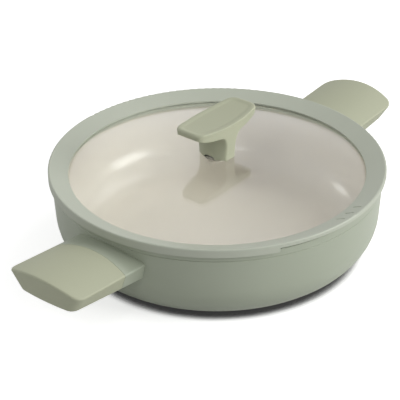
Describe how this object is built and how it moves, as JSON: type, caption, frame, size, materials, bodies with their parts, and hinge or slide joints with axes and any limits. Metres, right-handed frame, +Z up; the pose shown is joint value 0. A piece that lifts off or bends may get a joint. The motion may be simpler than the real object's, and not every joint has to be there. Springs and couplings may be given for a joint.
{
  "type": "saute pan with lid",
  "caption": "Round saute pan with paddle side handles, a domed glass lid, a silicone ring with a straining side, and a T-shaped knob.",
  "frame": {"origin": "middle of the pan's base, on the surface it stands on", "axes": "+Z up, X along the two side handles, -Y through the middle of the lid's straining side"},
  "size_m": [0.435, 0.286, 0.1206],
  "materials": {
    "pan_paint": "satin",
    "ceramic_lining": "gloss",
    "base_steel": "brushed",
    "tongue_metal": "cast",
    "core_plastic": "matte",
    "soft_grip": "soft-touch matte",
    "fastener_steel": "plain",
    "clear_glass": "clear",
    "ring_silicone": "matte",
    "insert_brass": "plain",
    "gasket_silicone": "translucent matte"
  },
  "bodies": {
    "pan": {"pan_body": "pan_paint", "nonstick_lining": "ceramic_lining", "induction_disc": "base_steel", "left_handle_tongue": "tongue_metal", "left_handle_neck": "pan_paint", "left_handle_core": "core_plastic", "left_handle_grip": "soft_grip", "left_handle_screw": "fastener_steel", "left_handle_washer": "fastener_steel", "right_handle_tongue": "tongue_metal", "right_handle_neck": "pan_paint", "right_handle_core": "core_plastic", "right_handle_grip": "soft_grip", "right_handle_screw": "fastener_steel", "right_handle_washer": "fastener_steel"},
    "lid": {"lid_glass": "clear_glass", "lid_ring": "ring_silicone", "knob_grip": "soft_grip", "knob_core": "core_plastic", "knob_insert": "insert_brass", "knob_gasket": "gasket_silicone", "knob_plate": "fastener_steel", "knob_screw": "fastener_steel"}
  },
  "joints": [
    {"name": "lid_lift", "type": "slide", "parent": "pan", "child": "lid", "axis": [0, 0, 1], "range_m": [0, 0.15]}
  ]
}
